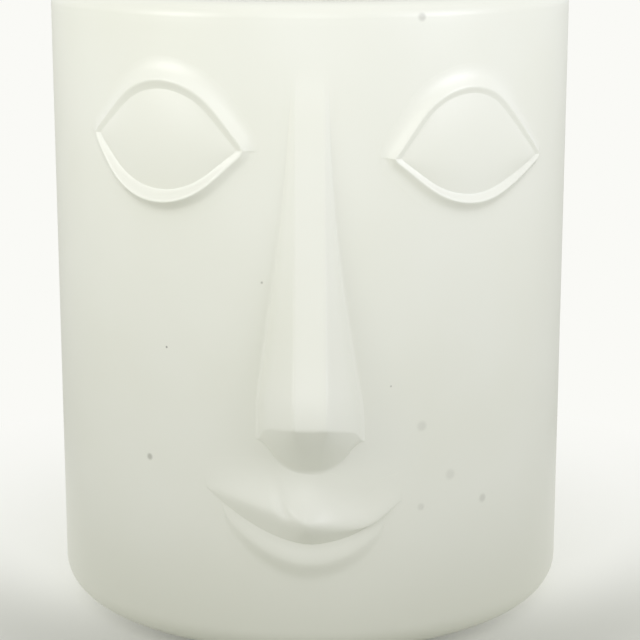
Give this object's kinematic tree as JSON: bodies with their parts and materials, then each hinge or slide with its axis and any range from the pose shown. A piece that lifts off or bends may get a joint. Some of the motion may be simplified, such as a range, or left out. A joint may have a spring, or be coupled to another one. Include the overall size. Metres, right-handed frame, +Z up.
{
  "type": "face vase",
  "caption": "Round cylindrical vase with a relief face applied to its front: domed almond eyes between ridged lids, a long wedge nose and smiling lips, in satin white glaze.",
  "frame": {"origin": "centre of the foot ring, on the plane that the vase stands on", "axes": "+Z up along the vase's axis to its mouth, the face looks along -Y, +X is to the right of someone who faces it"},
  "size_m": [0.15, 0.1627, 0.18],
  "materials": {
    "satin_glaze": "satin",
    "bare_stoneware": "matte"
  },
  "bodies": {
    "root": {"base_dish": "satin_glaze", "vase_wall": "satin_glaze", "rim_coil": "satin_glaze", "nose": "satin_glaze", "upper_lip": "satin_glaze", "lower_lip": "satin_glaze", "left_eyeball": "satin_glaze", "left_upper_eyelid": "satin_glaze", "left_lower_eyelid": "satin_glaze", "right_eyeball": "satin_glaze", "right_upper_eyelid": "satin_glaze", "right_lower_eyelid": "satin_glaze", "foot_ring": "bare_stoneware"}
  },
  "joints": []
}
